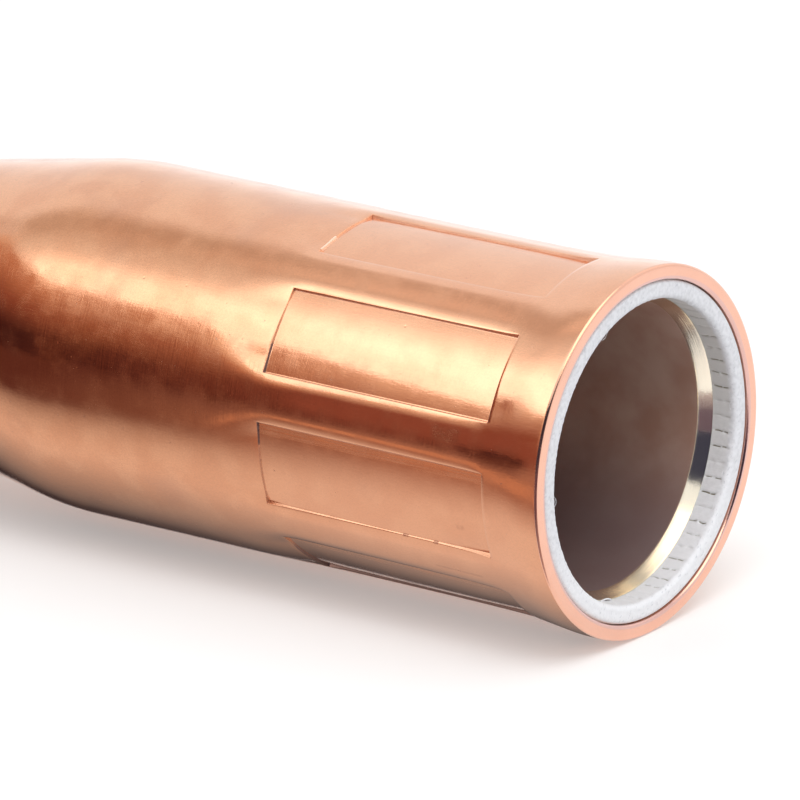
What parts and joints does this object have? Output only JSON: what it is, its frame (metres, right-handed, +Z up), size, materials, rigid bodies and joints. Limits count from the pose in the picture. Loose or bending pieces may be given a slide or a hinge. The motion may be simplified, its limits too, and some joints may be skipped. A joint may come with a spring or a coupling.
{
  "type": "welding gas nozzle",
  "caption": "Insulated copper gas nozzle for a MIG welding torch: crimped socket end, woven sleeve, brass insert, tapered nose with a round orifice.",
  "frame": {"origin": "on the nozzle's axis, in the plane where the plain bore of the brass insert begins, 2.95 mm inside the copper rim", "axes": "+X along the axis and out of the socket mouth, -X out of the gas orifice, +Z up as the nozzle lies on its side"},
  "size_m": [0.0741, 0.026, 0.026],
  "materials": {
    "copper": "bare drawn copper, satin with fine scratches",
    "fibreglass": "woven glass fibre, matt white",
    "brass": "turned bright"
  },
  "bodies": {
    "root": {"copper_shell": "copper", "insulator_sleeve": "fibreglass", "brass_insert": "brass"}
  },
  "joints": []
}
